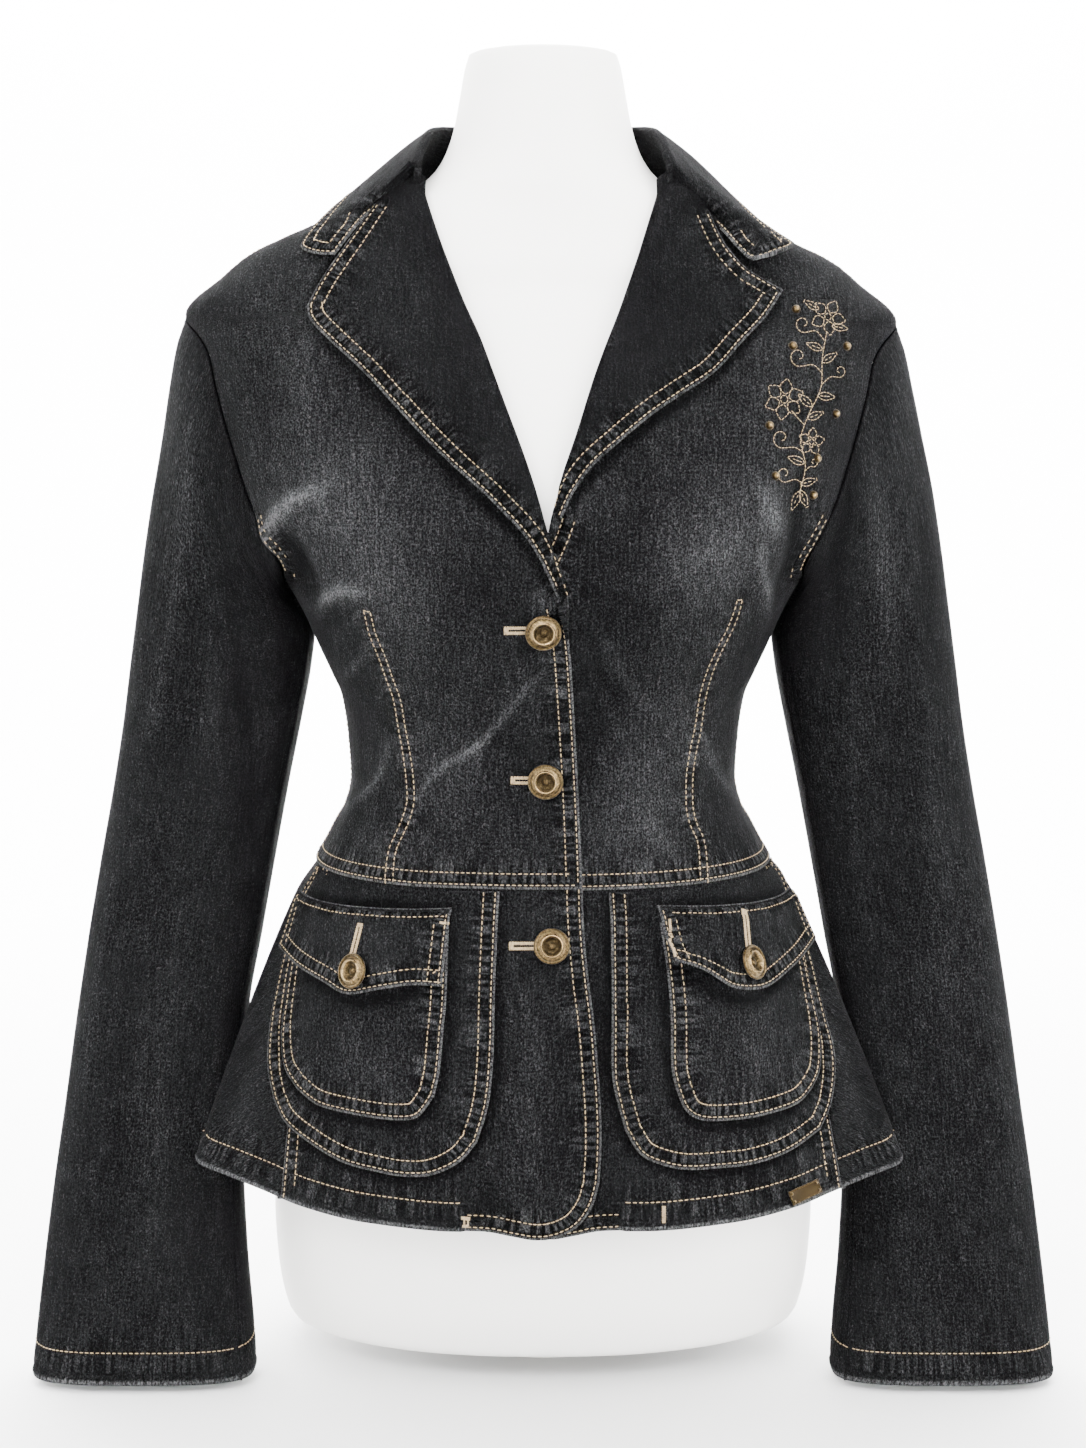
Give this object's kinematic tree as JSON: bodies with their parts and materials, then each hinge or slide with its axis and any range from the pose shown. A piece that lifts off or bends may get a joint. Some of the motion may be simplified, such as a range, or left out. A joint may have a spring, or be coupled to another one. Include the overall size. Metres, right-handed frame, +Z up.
{
  "type": "denim blazer on a dress form",
  "caption": "Fitted denim blazer with notched lapels, peplum and flap pockets, buttoned on a limbless dress form.",
  "frame": {"origin": "on the floor, on the flat underside of the form's foot, below the neck", "axes": "+Z up, -Y towards the front of the blazer, +X towards the wearer's left"},
  "size_m": [0.5844, 0.2909, 0.7514],
  "materials": {
    "denim": "washed near-black twill, matte, faded at seams and folds",
    "brass": "antique, satin",
    "form": "smooth off-white, soft sheen"
  },
  "bodies": {
    "root": {"front_right": "denim", "front_left": "denim", "back": "denim", "lapel_right": "denim", "lapel_left": "denim", "collar": "denim", "sleeve_upper_right": "denim", "sleeve_upper_left": "denim", "sleeve_under_right": "denim", "sleeve_under_left": "denim", "peplum_front_right": "denim", "peplum_front_left": "denim", "peplum_back": "denim", "pocket_panel_right": "denim", "pocket_panel_left": "denim", "pocket_right": "denim", "pocket_left": "denim", "flap_right": "denim", "flap_left": "denim", "button_1": "brass", "button_2": "brass", "button_3": "brass", "button_flap_right": "brass", "button_flap_left": "brass", "hem_plate": "brass", "dress_form": "form", "form_foot": "form"}
  },
  "joints": []
}
